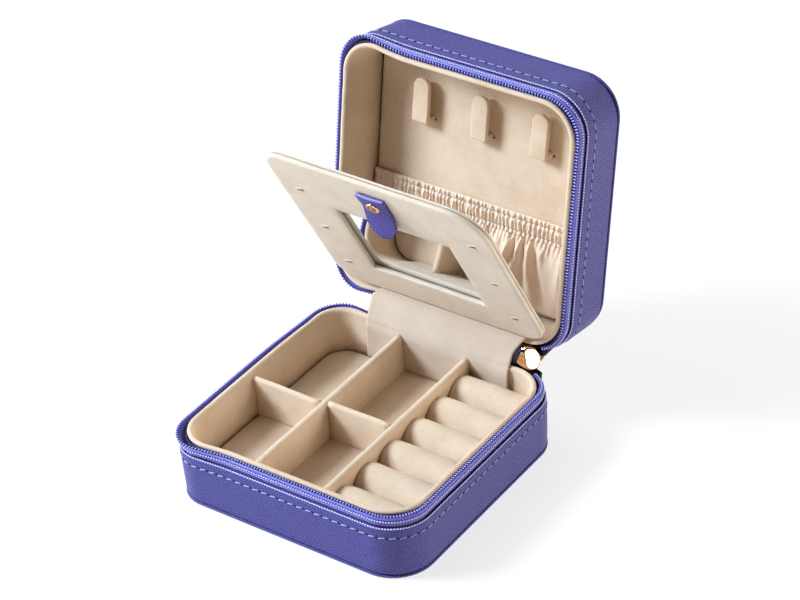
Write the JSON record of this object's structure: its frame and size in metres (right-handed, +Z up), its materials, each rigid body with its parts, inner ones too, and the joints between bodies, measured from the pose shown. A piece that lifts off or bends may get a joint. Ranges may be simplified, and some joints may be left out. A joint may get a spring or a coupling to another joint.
{
  "type": "travel jewelry case",
  "caption": "Zip-round leather travel jewelry case, open: divided velvet tray with ring rolls, folding mirror panel with earring slots, lid with necklace hooks and pocket.",
  "frame": {"origin": "middle of the base's underside, on the surface that the case stands on", "axes": "+X along the hinge, to the right seen from the front; +Y to the back, where the hinge and the opened lid are; +Z up"},
  "size_m": [0.1, 0.1429, 0.1293],
  "materials": {
    "violet_leather": "saffiano-grain leather, satin",
    "violet_tape": "woven tape, matt",
    "violet_coil": "moulded coil teeth, satin",
    "cream_velvet": "short-pile velvet, matt",
    "peach_cloth": "satin-backed cloth, soft sheen",
    "grey_board": "pressed board, matt",
    "gold_metal": "light gold plating, polished",
    "mirror_silver": "mirror, polished"
  },
  "bodies": {
    "base": {"base_bottom_leather": "violet_leather", "base_side_leather": "violet_leather", "base_shell": "grey_board", "base_zip_tape": "violet_tape", "base_zip_coil": "violet_coil", "base_zip_stop": "gold_metal", "base_liner": "cream_velvet", "base_floor_pad": "cream_velvet", "base_spine_leather": "violet_leather", "flap_gusset": "peach_cloth", "divider_left": "cream_velvet", "divider_right": "cream_velvet", "cross_divider_left": "cream_velvet", "cross_divider_middle": "cream_velvet", "ring_roll_1": "cream_velvet", "ring_roll_2": "cream_velvet", "ring_roll_3": "cream_velvet", "ring_roll_4": "cream_velvet", "ring_roll_5": "cream_velvet", "ring_roll_6": "cream_velvet"},
    "lid": {"lid_top_leather": "violet_leather", "lid_side_leather": "violet_leather", "lid_shell": "grey_board", "lid_zip_tape": "violet_tape", "lid_zip_coil": "violet_coil", "lid_zip_stop": "gold_metal", "lid_liner": "cream_velvet", "lid_ceiling_pad": "cream_velvet", "lid_spine_leather": "violet_leather", "necklace_hook_1": "cream_velvet", "necklace_hook_2": "cream_velvet", "necklace_hook_3": "cream_velvet", "pocket_pouch": "peach_cloth", "pocket_elastic": "peach_cloth"},
    "panel": {"mirror_frame": "cream_velvet", "mirror_glass": "mirror_silver", "mirror_backing": "cream_velvet", "pull_tab_root": "violet_leather", "tab_rivet": "gold_metal"},
    "tab": {"pull_tab_tongue": "violet_leather"},
    "slider": {"zip_slider": "gold_metal", "zip_slider_bridge": "gold_metal"},
    "puller": {"puller_link": "gold_metal", "puller_tag": "gold_metal"}
  },
  "joints": [
    {"name": "lid_hinge", "type": "hinge", "parent": "base", "child": "lid", "pos_m": [0, 0.05224, 0.02835], "axis": [1, 0, 0], "range_deg": [0, 99.4]},
    {"name": "panel_fold", "type": "hinge", "parent": "base", "child": "panel", "pos_m": [0, 0.0584, 0.02605], "axis": [1, 0, 0], "range_deg": [0, 60.5]},
    {"name": "tab_lift", "type": "hinge", "parent": "panel", "child": "tab", "pos_m": [0, 0.01347, 0.09886], "axis": [-1, 0, 0], "range_deg": [0, 50], "stiffness_Nm_per_rad": 0.002},
    {"name": "slider_tilt", "type": "hinge", "parent": "base", "child": "slider", "pos_m": [0, 0.06, 0.027], "axis": [1, 0, 0], "range_deg": [0, 17]},
    {"name": "puller_swing", "type": "hinge", "parent": "slider", "child": "puller", "pos_m": [0.0364, 0.05465, 0.02796], "axis": [1, 0, 0], "range_deg": [-5, 75]}
  ],
  "couplings": [
    {"joint": "panel_fold", "follows": "lid_hinge", "ratio": 0.6086},
    {"joint": "slider_tilt", "follows": "lid_hinge", "ratio": 0.171}
  ]
}
